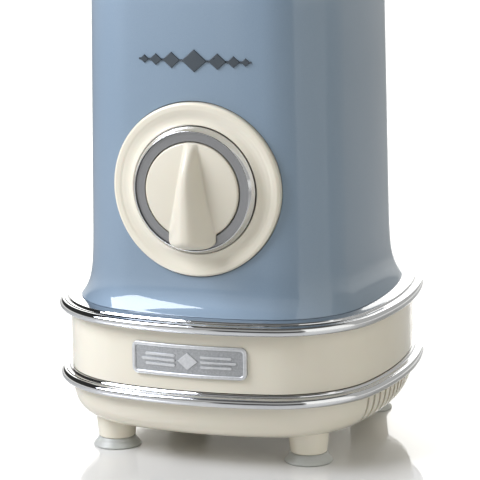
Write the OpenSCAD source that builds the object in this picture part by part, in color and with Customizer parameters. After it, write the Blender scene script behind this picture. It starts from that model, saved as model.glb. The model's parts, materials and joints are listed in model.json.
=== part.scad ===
// Retro countertop blender: motor base on suction feet, front dial, and a lift-off glass jar.
// Millimetres, +Z up, front towards -Y. Origin on the motor axis, at the surface it stands on.

/* [Base] */
// Half of the width across the chrome bands
base_half = 82.5; // [80:0.5:85]
// Corner radius of the chrome band outline
base_corner = 52.5; // [50:0.5:54]
// Radius of the gentle bow along each side of the base
base_bow = 177; // [170:1:200]
// Height of the lower chrome band's bottom edge
lower_band_z = 31.2; // [30.5:0.1:32]
// Height of the upper chrome band's bottom edge
upper_band_z = 64.9; // [64:0.1:66]
// Distance from the motor axis to each foot, along X and along Y
foot_pitch = 47.6; // [46:0.1:48.5]
// Wall thickness of the moulded housings
wall = 2.5; // [2.2:0.1:2.8]

/* [Body] */
// Half width of the body just above its flared skirt
body_half = 64; // [63.5:0.1:64.5]
// Corner radius of the body
body_corner = 33; // [31:0.5:35]
// Radius of the gentle bow along each side of the body
body_bow = 305; // [280:5:330]
// Half width that the body loses per millimetre of height
body_taper = 0.0137; // [0.012:0.0005:0.015]

/* [Dial] */
// Height of the dial axis
dial_z = 128.2; // [126:0.2:130]
// Radius of the cream dial bezel
bezel_r = 40.2; // [39.5:0.1:40.5]
// Radius of the knob's round plate
knob_r = 22.4; // [22:0.1:22.5]

/* [Jar] */
// Outer radius of the glass at its rim
jar_rim_r = 64; // [63:0.5:65]
// Height of the glass rim
jar_top_z = 404.2; // [402:0.1:406]
// Direction of the jar handle, seen from above, from +X
handle_turn = 45; // [43:1:47]

/* [Hidden] */
$fn = 96;

cream = "#efe9dc";
blue = "#93a9c2";
chrome = "#d8dadd";
steel = "#b4b7bb";
copper = "#b56a3c";
black_plastic = "#2f3033";

steps = 8;                          // facets along each bowed side and along each corner
gap = 0.2;                          // fitting gap between stacked housings
band_tuck = 5.2;                    // from a chrome band's outer face to its inner face
shell_tuck = band_tuck + gap;       // from a chrome band's outer face to the housing wall
band_h = 5.7;                       // height of a chrome band up to its flange top
band_flange = 12.5;                 // how far a band's flange runs inwards
foot_z = 4.6;                       // underside of the moulded foot stubs
floor_z = 12;                       // underside of the base
body_z = upper_band_z + band_h + gap;
skirt_tuck = 10.3;                  // from the chrome band's outer face to the body's edge
flare_len = 6;                      // height over which the skirt's flare fades to a third
shoulder_z = 212;                   // where the body starts to round over
deck_z = 235;                       // top of the body's shoulder
deck_r = 47;
deck_hole_r = 44;
screw_x = 24;
screw_y = 56;
board_z = 44;                       // underside of the control board
badge_z = 51.3;
emblem_z = 187;
dial_face_d = 68.2;                 // front of the grey dial face, from the motor axis
well_d = 59.5;                      // floor of the dial recess, from the motor axis
seat_floor_z = 226.5;
seat_top_z = 238;
bolt_x = 32;
bolt_y = 27;
shaft_r = 4;
core_z = 135;
core_h = 37;
pin_y = 36.8;                       // interlock pin, behind the motor axis
pin_r = 1.8;
collar_z = 238.2;                   // underside of the jar collar's flange
neck_z = 250.6;                     // bottom edge of the glass
blade_z = 262;

// ---- shared shapes ------------------------------------------------------------------

function ray(a) = [cos(a), sin(a)];

// Centre of a corner arc, measured along X and along Y, that is tangent to the bowed sides
function corner_centre(half, corner, bow) =
    (sqrt(2 * pow(bow - corner, 2) - pow(bow - half, 2)) - (bow - half)) / 2;

// Half of the angle that one bowed side covers
function side_swing(half, corner, bow) =
    asin(corner_centre(half, corner, bow) / (bow - corner));

// A square outline with rounded corners and gently bowed sides
function outline(half, corner, bow) =
    let (c = corner_centre(half, corner, bow), swing = side_swing(half, corner, bow))
    [for (side = [0:3]) each concat(
        [for (i = [0:steps - 1])
            (half - bow) * ray(90 * side) + bow * ray(90 * side + swing * (2 * i / steps - 1))],
        [for (i = [0:steps - 1])
            c * sqrt(2) * ray(90 * side + 45)
            + corner * ray(90 * side + swing + (90 - 2 * swing) * i / steps)]
    )];

// A circle with as many points as an outline, in matching directions
function round_outline(r, half, corner, bow) =
    let (swing = side_swing(half, corner, bow))
    [for (side = [0:3]) each concat(
        [for (i = [0:steps - 1]) r * ray(90 * side + swing * (2 * i / steps - 1))],
        [for (i = [0:steps - 1]) r * ray(90 * side + swing + (90 - 2 * swing) * i / steps)]
    )];

function lift(points, z) = [for (p = points) [p.x, p.y, z]];

function mix(a, b, t) = [for (i = [0:len(a) - 1]) a[i] * (1 - t) + b[i] * t];

// The base outline, moved in by tuck
function base_outline(tuck) = outline(base_half - tuck, base_corner - tuck, base_bow - tuck);

function base_rings(profile) = [for (p = profile) lift(base_outline(p[0]), p[1])];

// How much of the skirt's flare is left at a height
function flare(z) = exp((body_z - z) / flare_len);

// The body's outline at a height, moved in by tuck
function body_outline(z, tuck) =
    let (
        w = flare(z),
        half = (body_half - body_taper * (z - 95)) * (1 - w) + (base_half - skirt_tuck) * w,
        corner = body_corner * (1 - w) + (base_corner - skirt_tuck) * w,
        bow = body_bow * (1 - w) + (base_bow - skirt_tuck) * w
    )
    outline(half - tuck, corner - tuck, bow - tuck);

// One ring of the body's rounded shoulder: turn runs from 0 at the wall to 90 at the deck
function shoulder_ring(turn, tuck, rim_r) =
    let (half = body_half - body_taper * (shoulder_z - 95))
    lift(
        mix(
            body_outline(shoulder_z, tuck),
            round_outline(rim_r, half - tuck, body_corner - tuck, body_bow - tuck),
            1 - cos(turn)
        ),
        shoulder_z + (deck_z - tuck - shoulder_z) * sin(turn)
    );

// A solid whose surface runs through a list of rings: outside upwards, then inside downwards.
// A closed one joins its last ring to its first, an open one ends in two flat caps.
module skin(rings, closed) {
    n = len(rings[0]);
    m = len(rings);
    low = [0, 0, rings[0][0].z];
    high = [0, 0, rings[m - 1][0].z];
    walls = [
        for (i = [0:m - (closed ? 1 : 2)], j = [0:n - 1])
            let (
                a = i * n + j,
                b = i * n + (j + 1) % n,
                c = ((i + 1) % m) * n + (j + 1) % n,
                d = ((i + 1) % m) * n + j
            )
            each [[a, d, c], [a, c, b]]
    ];
    caps = [
        for (j = [0:n - 1]) each [
            [m * n, j, (j + 1) % n],
            [m * n + 1, (m - 1) * n + (j + 1) % n, (m - 1) * n + j]
        ]
    ];
    polyhedron(
        concat([for (ring = rings) each ring], closed ? [] : [low, high]),
        concat(walls, closed ? [] : caps),
        convexity = 6
    );
}

function round_rect(w, h, r) = [
    for (side = [0:3], i = [0:steps])
        let (sx = side == 0 || side == 3 ? 1 : -1, sy = side < 2 ? 1 : -1)
        [sx * (w / 2 - r), sy * (h / 2 - r)] + r * ray(90 * side + 90 * i / steps)
];

function diamond(w, h) = [[w / 2, 0], [0, h / 2], [-w / 2, 0], [0, -h / 2]];

module tube(r_out, r_in, z_low, z_high) {
    translate([0, 0, z_low]) difference() {
        cylinder(r = r_out, h = z_high - z_low);
        translate([0, 0, -1]) cylinder(r = r_in, h = z_high - z_low + 2);
    }
}

module rod(r, z_low, z_high) {
    translate([0, 0, z_low]) cylinder(r = r, h = z_high - z_low);
}

module block(low, high) {
    translate(low) cube(high - low);
}

module at_corners(x, y) {
    for (sx = [-1, 1], sy = [-1, 1]) translate([sx * x, sy * y, 0]) children();
}

module at_sides() {
    for (turn = [0, 180]) rotate([0, 0, turn]) children();
}

// Local Z points out of the front of the dial, local Y points up
module on_dial() {
    translate([0, 0, dial_z]) rotate([90, 0, 0]) children();
}

// A flat shape drawn in X and Z, from one distance in front of the motor axis to another
module front_plate(z, d_low, d_high) {
    translate([0, 0, z]) rotate([90, 0, 0]) translate([0, 0, d_low])
        linear_extrude(d_high - d_low) children();
}

// A flat star with twelve points
module star(r) {
    for (turn = [0, 30]) rotate([0, 0, turn]) circle(r = r, $fn = 6);
}

// ---- base ---------------------------------------------------------------------------

module lower_housing() {
    top = lower_band_z + band_h - 1.6;
    outer = [
        [34, floor_z], [27, 12.1], [21, 12.7], [17, 13.6], [13.6, 14.9], [10.8, 16.6],
        [8.6, 18.8], [6.9, 22], [5.9, 26], [shell_tuck, 30], [shell_tuck, top]
    ];
    inner = [
        [shell_tuck + wall, top], [shell_tuck + wall, 30], [8.4, 26], [9.4, 23],
        [11.4, 20.4], [14.6, 18], [18.4, 16.1], [23, 15], [34, 14.5]
    ];
    vent_pitch = 6;
    vent_w = 2;
    post_r = 6.2;
    color(cream) difference() {
        union() {
            skin(base_rings(concat(outer, inner)), false);
            at_corners(foot_pitch, foot_pitch) translate([0, 0, foot_z])
                cylinder(r1 = 8.7, r2 = 9.9, h = 13);
            at_corners(screw_x, screw_y) rod(post_r, 13, lower_band_z + band_h);
            at_corners(40, 28) rod(4, 13, board_z - 0.1);
        }
        at_corners(foot_pitch, foot_pitch) rod(4, 0, 13.4);
        at_corners(screw_x, screw_y) {
            rod(4.3, 10, 16);
            rod(2.2, 15, 40);
        }
        for (i = [-6:6])
            block([-base_half, i * vent_pitch - vent_w / 2, 18], [-62, i * vent_pitch + vent_w / 2, 29]);
        for (i = [-6:6])
            block([62, i * vent_pitch - vent_w / 2, 18], [base_half, i * vent_pitch + vent_w / 2, 29]);
    }
}

module suction_feet() {
    color("#a9b0a6") at_corners(foot_pitch, foot_pitch) rotate_extrude() polygon([
        [0, 2], [5, 1.6], [8.6, 0], [11.2, 0], [11.2, 0.9], [9.9, 2.6], [8.9, 3.4],
        [8.6, 4.5], [3.8, 4.5], [3.8, 12], [2.8, 12.8], [0, 12.8]
    ]);
}

module housing_screws() {
    color(steel) at_corners(screw_x, screw_y) difference() {
        union() {
            rod(3.8, 13.6, 15.9);
            rod(1.9, 15.8, 86);
        }
        block([-2.6, -0.4, 13], [2.6, 0.4, 14.6]);
        block([-0.4, -2.6, 13], [0.4, 2.6, 14.6]);
    }
}

// A rounded chrome moulding with a small upper step and a flange that runs under the next shell
module chrome_band(z) {
    section = [
        [band_tuck, 0], [1.4, 0], [0.3, 0.8], [0, 2.3], [0.4, 3.7], [1.4, 4.5], [4.2, 4.8],
        [4.4, 5.4], [5.2, band_h], [band_flange, band_h], [band_flange, 4.3], [band_tuck, 4.3]
    ];
    color(chrome) skin(base_rings([for (p = section) [p[0], z + p[1]]]), true);
}

module lower_chrome_band() {
    chrome_band(lower_band_z);
}

module upper_chrome_band() {
    chrome_band(upper_band_z);
}

module mid_housing() {
    low = lower_band_z + band_h + gap;
    high = upper_band_z + 4.3 - gap;
    color(cream) difference() {
        union() {
            translate([0, 0, low]) linear_extrude(high - low) difference() {
                polygon(base_outline(shell_tuck));
                polygon(base_outline(shell_tuck + wall));
            }
            at_corners(screw_x, screw_y) rod(5, low, high);
            for (sx = [-1, 1], sy = [-1, 1]) translate([sx * screw_x, sy * (screw_y + 11), low])
                translate([-1.5, -8, 0]) cube([3, 16, high - low]);
        }
        at_corners(screw_x, screw_y) rod(2.2, low - 1, high + 1);
        gland_block(6, high + 1, 60, 90);
    }
}

module upper_housing() {
    heights = [
        body_z, body_z + 1.5, body_z + 3.5, body_z + 6, body_z + 9, body_z + 13, body_z + 19,
        body_z + 30, 150, 190
    ];
    turns = [0:15:90];
    outer = concat(
        [for (z = heights) lift(body_outline(z, 0), z)],
        [for (a = turns) shoulder_ring(a, 0, deck_r)]
    );
    inner = concat(
        [for (i = [0:6]) shoulder_ring(90 - 15 * i, wall, deck_hole_r)],
        [for (i = [1:len(heights)]) let (z = heights[len(heights) - i]) lift(body_outline(z, wall), z)]
    );
    rim = lift(round_outline(deck_hole_r, body_half, body_corner, body_bow), deck_z);
    color(blue) difference() {
        union() {
            difference() {
                skin(concat(outer, [rim], inner), true);
                on_dial() rod(bezel_r + gap, 40, 90);
            }
            intersection() {
                on_dial() tube(bezel_r + 2.8, bezel_r + gap, 57.4, 60.3);
                linear_extrude(dial_z + 50) polygon(body_outline(dial_z + 45, 0.3));
            }
            on_dial() rod(bezel_r + 1, 57.4, well_d);
            at_corners(screw_x, screw_y) rod(4.5, body_z, 90);
            for (sx = [-1, 1], sy = [-1, 1]) translate([sx * screw_x, sy * (screw_y + 4.8), body_z])
                translate([-1.5, -2.5, 0]) cube([3, 5, 90 - body_z]);
        }
        at_corners(screw_x, screw_y) rod(1.95, body_z - 1, 88);
        on_dial() rod(4.7, 50, 70);
    }
}

// Silver plate with a raised rim and a plain striped ornament, bent to the bowed wall
module badge_plate() {
    w = 55.6;
    h = 15.2;
    wall_bow = base_bow - shell_tuck;
    stripe_pitch = 2.3;
    module bent(far, near) {
        translate([0, wall_bow - (base_half - shell_tuck), 0])
            tube(wall_bow + far, wall_bow + near, badge_z - h, badge_z + h, $fn = 256);
    }
    color("#c3c5c6") {
        difference() {
            intersection() {
                front_plate(badge_z, 66, 80) polygon(round_rect(w, h, 3));
                bent(1.5, 0.1);
            }
            intersection() {
                front_plate(badge_z, 66, 81) polygon(round_rect(w - 3.4, h - 3.4, 1.8));
                bent(2.5, 0.8);
            }
        }
        intersection() {
            front_plate(badge_z, 66, 80) union() {
                polygon(diamond(10, 8.4));
                for (side = [-1, 1], row = [-1:1])
                    translate([side * (row == 0 ? 14.5 : 13.5), row * stripe_pitch])
                        square([row == 0 ? 17 : 15, 1.2], center = true);
            }
            bent(1.4, 0.5);
        }
    }
}

// Dark applied ornament: a slim bar carrying a row of diamonds, bent to the body's front
module front_emblem() {
    front = body_half - body_taper * (emblem_z - 95);
    centre_y = body_bow - front;
    sizes = [12, 8.6, 6.2, 4.4];
    places = [0, 11, 18.6, 24.2];
    color("#4b5058") intersection() {
        front_plate(emblem_z, 50, 70) union() {
            square([54, 0.9], center = true);
            for (i = [0:3], side = [-1, 1])
                translate([side * places[i], 0]) polygon(diamond(sizes[i], 0.86 * sizes[i]));
        }
        translate([0, centre_y, 0]) tube(body_bow + 0.75, body_bow + 0.12, emblem_z - 10, emblem_z + 10, $fn = 256);
    }
}

// A block of a half width about the cord, from y0 to y1 and up to a height
module gland_block(r, top, y0, y1) {
    translate([-r, y0, badge_z - r]) cube([2 * r, y1 - y0, top - badge_z + r]);
}

// Slides down into a slot in the middle housing, whose wall it grips between two flanges
module cord_gland() {
    color(black_plastic) difference() {
        union() {
            gland_block(7.5, upper_band_z + 4.3 - gap, 71, 74.2);
            gland_block(5.9, upper_band_z + 4.3 - gap, 70, 77);
            gland_block(5.9, upper_band_z - gap, 70, 78);
            gland_block(9, upper_band_z - gap, 77.4, 79.6);
            translate([0, 0, badge_z]) rotate([-90, 0, 0]) rod(7, 79.5, 81.8);
        }
        translate([0, 0, badge_z]) rotate([-90, 0, 0]) rod(3.6, 60, 90);
    }
}

// ---- dial ---------------------------------------------------------------------------

module dial_bezel() {
    color(cream) on_dial() rotate_extrude() polygon([
        [5.2, well_d + 0.1], [bezel_r, well_d + 0.1], [bezel_r, 65], [bezel_r - 0.5, 65.8],
        [bezel_r - 1.5, 66.2], [bezel_r - 3.2, 66], [34, 64.9], [31.5, 64.3], [29.6, 64.4],
        [29.6, 62.2], [5.2, 62.2]
    ]);
}

module dial_trim_ring() {
    color(chrome) on_dial() rotate_extrude() polygon([
        [26.9, 62.3], [29.4, 62.3], [29.4, 65], [28.9, 68.5], [28.3, 69.6], [27.6, 70],
        [27.1, 69.7], [26.9, 69]
    ]);
}

module dial_face() {
    color("#8b8d92") on_dial() rotate_extrude() polygon([
        [8.2, 62.3], [26.8, 62.3], [26.8, dial_face_d], [knob_r + 0.5, dial_face_d],
        [knob_r + 0.5, 65.2], [8.2, 65.2]
    ]);
}

module rotary_switch() {
    color(black_plastic) on_dial() difference() {
        union() {
            translate([0, 0, 36]) linear_extrude(21.2) polygon(round_rect(32, 32, 4));
            rod(4.5, 57, 65);
            for (i = [-2:2]) block([i * 5 - 1.5, -20, 40], [i * 5 + 1.5, -15, 41]);
        }
        rod(3.06, 48, 66);
    }
}

module switch_nut() {
    color(steel) on_dial() difference() {
        translate([0, 0, 62.3]) cylinder(r = 6.8, h = 2.3, $fn = 6);
        rod(4.55, 60, 66);
    }
}

module switch_shaft() {
    color(steel) on_dial() difference() {
        rod(3, 48.4, 74);
        block([1.6, -4, 66], [4, 4, 75]);
    }
}

// Round plate with a wedge grip: narrow at the top, wide at the bottom, highest along its ridge
module speed_knob() {
    back = 65.6;
    plate_front = 69.2;
    grip_back = dial_face_d + 0.5;
    color(cream) on_dial() difference() {
        union() {
            rotate_extrude() polygon([
                [0, back], [knob_r, back], [knob_r, plate_front - 0.7],
                [knob_r - 0.7, plate_front], [0, plate_front + 0.5]
            ]);
            hull() {
                for (side = [-1, 1]) translate([side * 7.6, -21, grip_back])
                    cylinder(r = 3.4, h = 2.4, $fn = 32);
                translate([0, 18.6, grip_back]) cylinder(r = 3.6, h = 1.4, $fn = 32);
                for (side = [-1, 1]) translate([side * 1.6, -20.6, 78.4]) sphere(r = 1.6, $fn = 32);
                translate([0, 15.4, 76.4]) sphere(r = 1.5, $fn = 32);
            }
        }
        difference() {
            rod(3.05, 60, 74.2);
            block([1.65, -4, 66], [4, 4, 75]);
        }
    }
}

// ---- jar seat and interlock ---------------------------------------------------------

module jar_seat() {
    color(cream) difference() {
        union() {
            rotate_extrude() polygon([
                [9, 224], [43.5, 224], [43.5, deck_z + 0.2], [50, deck_z + 0.2],
                [50.8, deck_z + 1], [50.4, seat_top_z - 0.6], [49.4, seat_top_z], [41, seat_top_z],
                [41, seat_floor_z], [9, seat_floor_z]
            ]);
            for (turn = [45:90:315]) rotate([0, 0, turn])
                block([39.4, -2, 226], [41.5, 2, 236]);
            at_corners(bolt_x, bolt_y) rod(4.6, 208, 224.5);
            translate([0, pin_y, 0]) rod(4.5, 219.2, 224.5);
        }
        at_corners(bolt_x, bolt_y) rod(1.75, 200, 220);
        translate([0, pin_y, 0]) rod(pin_r + 0.06, 210, 230);
    }
}

module splash_seal() {
    color("#3a3a3a") {
        tube(8.9, shaft_r + 0.3, 224.2, 226.7);
        tube(12, shaft_r + 0.3, 226.6, 227.3);
    }
}

module interlock_bracket() {
    color(steel) difference() {
        union() {
            block([-11, 30, 204.5], [11, 43, 206.5]);
            for (side = [-1, 1])
                block([side * 10 - 1, 30, 206], [side * 10 + 1, 43, 223.9]);
        }
        translate([0, pin_y, 0]) rod(pin_r + 0.1, 200, 210);
    }
}

module interlock_switch() {
    color(black_plastic) {
        block([-10, 32, 188], [10, 42, 202]);
        translate([0, pin_y, 0]) rod(2, 201.5, 203.2);
        for (x = [-6, 0, 6]) block([x - 0.4, 35, 182], [x + 0.4, 39, 188.5]);
    }
}

module interlock_pin() {
    color("#d9d4c8") translate([0, pin_y, 0]) {
        rod(pin_r, 203.5, 226.8);
        rod(4, 214, 215.5);
    }
}

// Compression spring around the pin: a wire swept along a helix
module interlock_spring() {
    turns = 4;
    per_turn = 12;
    wire_r = 0.4;
    coil_r = 2.9;
    low = 207;
    high = 213.5;
    sides = 6;
    count = turns * per_turn;
    rings = [
        for (i = [0:count])
            let (a = 360 * i / per_turn, z = low + (high - low) * i / count)
            [for (j = [0:sides - 1])
                let (b = 360 * j / sides, out = coil_r + wire_r * cos(b))
                [out * cos(a), out * sin(a), z + wire_r * sin(b)]]
    ];
    walls = [
        for (i = [0:count - 1], j = [0:sides - 1])
            let (a = i * sides + j, b = i * sides + (j + 1) % sides)
            each [[a, b, b + sides], [a, b + sides, a + sides]]
    ];
    caps = [[for (j = [0:sides - 1]) sides - 1 - j], [for (j = [0:sides - 1]) count * sides + j]];
    color(steel) translate([0, pin_y, 0])
        polyhedron([for (ring = rings) each ring], concat(walls, caps), convexity = 8);
}

// ---- motor --------------------------------------------------------------------------

module motor_bracket(z, h) {
    difference() {
        union() {
            translate([0, 0, z]) linear_extrude(4) {
                for (turn = [-1, 1]) rotate([0, 0, turn * atan(bolt_y / bolt_x)])
                    square([2 * norm([bolt_x, bolt_y]) + 12, 12], center = true);
            }
            rod(12, z - h, z + 6);
        }
        at_corners(bolt_x, bolt_y) rod(2.4, z - 1, z + 5);
        rod(8, z - h - 1, z + 7);
    }
}

module upper_motor_bracket() {
    color(steel) motor_bracket(200, 4);
}

module lower_motor_bracket() {
    color(steel) motor_bracket(118, 3);
}

module bearing(z) {
    color("#9a9184") tube(7.95, shaft_r + 0.05, z, z + 8);
}

module upper_bearing() {
    bearing(197);
}

module lower_bearing() {
    bearing(115.4);
}

module stator_core() {
    color("#6d7075") translate([0, 0, core_z]) linear_extrude(core_h) difference() {
        polygon(round_rect(80, 70, 8));
        circle(r = 21.5);
        for (sx = [-1, 1], sy = [-1, 1]) translate([sx * 17.5, sy * 25.7]) square([6.2, 7], center = true);
        for (sx = [-1, 1], sy = [-1, 1]) translate([sx * bolt_x, sy * bolt_y]) circle(r = 2.4);
    }
}

module field_coils() {
    color(copper) at_sides() difference() {
        block([-20.4, 22.6, 127], [20.4, 28.8, 180]);
        block([-14.6, 20, core_z - 0.2], [14.6, 30, core_z + core_h + 0.2]);
    }
}

module motor_bolts() {
    color(steel) at_corners(bolt_x, bolt_y) {
        rod(1.7, 114, 219);
        rod(3.6, 111.5, 114.1);
        tube(4.4, 1.65, 114, 115);
        tube(4.4, 1.65, 116, 117.9);
        rod(2.6, 115, 116.2);
    }
}

module motor_spacers() {
    color("#8d9094") at_corners(bolt_x, bolt_y) {
        tube(4, 2, 122.1, core_z - 0.1);
        tube(4, 2, core_z + core_h + 0.1, 199.9);
    }
}

module motor_cushions() {
    color("#35363a") at_corners(bolt_x, bolt_y) tube(5.4, 2, 204.1, 207.9);
}

module brush_holders() {
    color(black_plastic) at_sides() difference() {
        union() {
            block([11, -5, 183.5], [30, 5, 195.8]);
            block([14, -5, 195.6], [30, 5, 199.9]);
        }
        block([10, -3.1, 184.4], [31, 3.1, 191.6]);
    }
}

module carbon_brushes() {
    color("#3b3b3d") at_sides() block([10.3, -3, 184.5], [24, 3, 191.5]);
}

module motor_shaft() {
    color(steel) rod(shaft_r, 94, 229.8);
}

module armature_core() {
    slots = 12;
    color("#777a80") translate([0, 0, 134]) linear_extrude(39) difference() {
        circle(r = 20.8);
        circle(r = shaft_r + 0.05);
        for (i = [0:slots - 1]) rotate([0, 0, 360 * i / slots]) {
            translate([16.5, -1.9]) square([3, 3.8]);
            translate([17, -0.7]) square([5, 1.4]);
        }
    }
}

module armature_windings() {
    color(copper) {
        rotate_extrude() polygon([[4.1, 125.5], [13, 125.5], [18, 129], [18, 133.9], [4.1, 133.9]]);
        rotate_extrude() polygon([[4.1, 173.1], [18, 173.1], [18, 177.5], [12, 181.5], [4.1, 181.5]]);
    }
}

module commutator() {
    bars = 24;
    color(copper) difference() {
        tube(10, shaft_r + 0.05, 182, 194);
        for (i = [0:bars / 2 - 1]) rotate([0, 0, 360 * i / bars])
            for (side = [0, 180]) rotate([0, 0, side]) block([9.1, -0.25, 181], [11, 0.25, 195]);
    }
}

module cooling_fan() {
    vanes = 9;
    color("#e3e0d6") difference() {
        union() {
            rod(10, 98, 111);
            rod(34, 98, 99.6);
            for (i = [0:vanes - 1]) rotate([0, 0, 360 * i / vanes])
                translate([8, 0, 99]) rotate([0, 0, 18]) translate([0, -0.8, 0]) cube([25, 1.6, 11]);
        }
        rod(shaft_r + 0.02, 90, 120);
    }
}

module drive_coupling() {
    color("#3a3b3e") difference() {
        union() {
            rod(12.5, 229, seat_top_z);
            rod(8.5, 227.8, 229.1);
        }
        rod(shaft_r + 0.02, 220, 229.9);
        translate([0, 0, 230.2]) linear_extrude(20) star(7.4);
    }
}

module control_board() {
    color("#3f6b4a") difference() {
        translate([0, 0, board_z]) linear_extrude(1.6) polygon(round_rect(92, 68, 3));
        at_corners(40, 28) rod(1.6, 40, 50);
    }
}

module board_components() {
    top = board_z + 1.7;
    color("#8c8f94") {
        block([-30, -18, top], [-12, 2, top + 12]);
        translate([14, -14, 0]) rod(8, top, top + 16);
        block([-6, 8, top], [10, 14, top + 18]);
        translate([-26, 16, 0]) tube(9, 4.5, top, top + 8);
        block([20, 6, top], [32, 20, top + 9]);
    }
}

// ---- jar ----------------------------------------------------------------------------

module jar_collar() {
    color(cream) difference() {
        rotate_extrude() polygon([
            [33.5, 227], [40.6, 227], [40.6, collar_z], [50.5, collar_z], [53.4, 239.8],
            [54.3, 243], [54, 250], [52.2, 262], [51.2, 264], [50, 264.4], [47.6, 264.4],
            [47.6, 246.2], [34.2, 246.2]
        ]);
        for (turn = [45:90:315]) rotate([0, 0, turn])
            block([39, -2.6, 226], [41.5, 2.6, 237]);
    }
}

module jar_gasket() {
    color("#d8d5cc") tube(47.2, 42.6, 248.4, neck_z - 0.1);
}

module blade_hub() {
    color(steel) rotate_extrude() polygon([
        [6.05, 241], [10, 241], [10, 245], [33.8, 246.4], [47.1, 246.4], [47.1, 248.2],
        [33, 248.2], [12, 253.6], [11, 258.6], [6.05, 258.6]
    ]);
}

module blade_bearing() {
    color("#9a9184") tube(6, 3.55, 241, 259.4);
}

// Everything inside the glass: from below its neck to above its rim
module jar_cavity() {
    rotate_extrude() polygon([
        [0, neck_z - 10], [43.2, neck_z - 10], [43.2, 263], [44.6, 267.4], [47.8, 273],
        [49.2, 279], [jar_rim_r - 5.8, 396], [jar_rim_r - 5.2, 400.4],
        [jar_rim_r - 3.8, jar_top_z], [jar_rim_r - 3.8, jar_top_z + 10], [0, jar_top_z + 10]
    ]);
}

// A tapered, hollow funnel shape that leans outwards to the rim, opposite the handle
module spout(r, reach, top) {
    rotate([0, 0, handle_turn + 180]) hull() {
        translate([jar_rim_r - 14.5, 0, 376]) sphere(r = r * 0.55, $fn = 24);
        for (x = [jar_rim_r - 18, jar_rim_r + reach - r])
            translate([x, 0, top - 2]) cylinder(r = r, h = 2, $fn = 32);
    }
}

module jar_handle() {
    thick = 14;
    rotate([0, 0, handle_turn]) rotate([90, 0, 0])
        translate([75.5, 341, -thick / 2]) linear_extrude(thick) difference() {
            polygon(round_rect(57, 94, 22));
            translate([0.5, 0]) polygon(round_rect(34, 70, 13));
            translate([-20, 0]) square([30, 70], center = true);
        }
}

module jar_glass() {
    color("#dfe9ea", 0.4) difference() {
        union() {
            rotate_extrude() polygon([
                [0, neck_z], [47.2, neck_z], [47.2, 264.8], [49.2, 267], [51.8, 270.4],
                [53, 276], [jar_rim_r - 2.2, 392], [jar_rim_r - 1.2, 398],
                [jar_rim_r, 401.4], [jar_rim_r, jar_top_z - 0.7],
                [jar_rim_r - 0.8, jar_top_z], [0, jar_top_z]
            ]);
            jar_handle();
            spout(10, 8, jar_top_z);
        }
        jar_cavity();
        spout(6.4, 5, jar_top_z + 3);
    }
}

module jar_lid() {
    top = jar_top_z + 0.3;
    color(cream) rotate_extrude() polygon([
        [24.4, 398], [27, 398], [27, top + 0.4], [52.6, top + 0.4], [52.6, 388],
        [55.2, 388], [55.2, top], [jar_rim_r + 1.4, top], [jar_rim_r + 2, top + 1.4],
        [jar_rim_r + 1.4, top + 3.6], [60, top + 5.6], [40, top + 8.8], [29, top + 10.2],
        [24.4, top + 10.4]
    ]);
}

module lid_gasket() {
    color("#d8d5cc") rotate_extrude() polygon([
        [55.3, 391], [56, 391], [57.2, 392.2], [56, 393.4], [56, 396], [57.6, 397.2],
        [56, 398.4], [56, 400], [55.3, 400]
    ]);
}

module measuring_cap() {
    top = jar_top_z + 10.9;
    color(cream) rotate_extrude() polygon([
        [21.9, 394], [23.9, 394], [23.9, top], [28.4, top], [29, top + 1.2],
        [28.4, top + 3], [24, top + 5.4], [0, top + 6.4], [0, top + 3.6], [21.9, top + 2.4]
    ]);
}

// ---- blades -------------------------------------------------------------------------

module blade_shaft() {
    color(steel) rod(3.5, 238.6, 270);
}

module driven_coupling() {
    color("#3a3b3e") {
        translate([0, 0, 230.8]) linear_extrude(7.3) star(7);
        translate([0, 0, 238]) difference() {
            cylinder(r = 9, h = 2.2);
            translate([0, 0, 0.5]) cylinder(r = 3.52, h = 3);
        }
    }
}

// Two opposite wings on a flat centre; the wings are bent up by the given angle
module bent_blade(z, bend, reach) {
    difference() {
        union() {
            rod(8, z, z + 1.6);
            at_sides() translate([6, 0, z]) rotate([0, -bend, 0]) linear_extrude(1.6)
                polygon([[0, -6.5], [0.55 * reach, -6.2], [reach, 1], [reach - 3, 4.4], [0, 6.5]]);
        }
        rod(3.55, z - 3, z + 5);
    }
}

module lower_blade() {
    color("#c9ccd0") bent_blade(blade_z, -7, 25);
}

module upper_blade() {
    color("#c9ccd0") rotate([0, 0, 90]) bent_blade(blade_z + 1.7, 32, 28);
}

module blade_nut() {
    color(steel) difference() {
        union() {
            translate([0, 0, blade_z + 3.4]) cylinder(r = 6.6, h = 5, $fn = 6);
            rod(4.9, blade_z + 8.3, blade_z + 10.3);
        }
        rod(3.52, blade_z, 270.2);
    }
}

lower_housing();
suction_feet();
housing_screws();
lower_chrome_band();
mid_housing();
upper_chrome_band();
upper_housing();
badge_plate();
front_emblem();
dial_bezel();
dial_trim_ring();
dial_face();
rotary_switch();
switch_nut();
cord_gland();
jar_seat();
splash_seal();
upper_motor_bracket();
lower_motor_bracket();
upper_bearing();
lower_bearing();
stator_core();
field_coils();
motor_bolts();
motor_spacers();
motor_cushions();
brush_holders();
carbon_brushes();
control_board();
board_components();
interlock_bracket();
interlock_switch();
interlock_spring();
interlock_pin();
speed_knob();
switch_shaft();
motor_shaft();
armature_core();
armature_windings();
commutator();
cooling_fan();
drive_coupling();
jar_glass();
jar_collar();
jar_gasket();
blade_hub();
blade_bearing();
blade_shaft();
lower_blade();
upper_blade();
blade_nut();
driven_coupling();
jar_lid();
lid_gasket();
measuring_cap();
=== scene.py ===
"""Looks of a retro countertop blender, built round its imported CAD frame. +Z is up, the dial faces -Y."""

import json
import math

import bmesh
import bpy
from mathutils import Matrix, Vector

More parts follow.
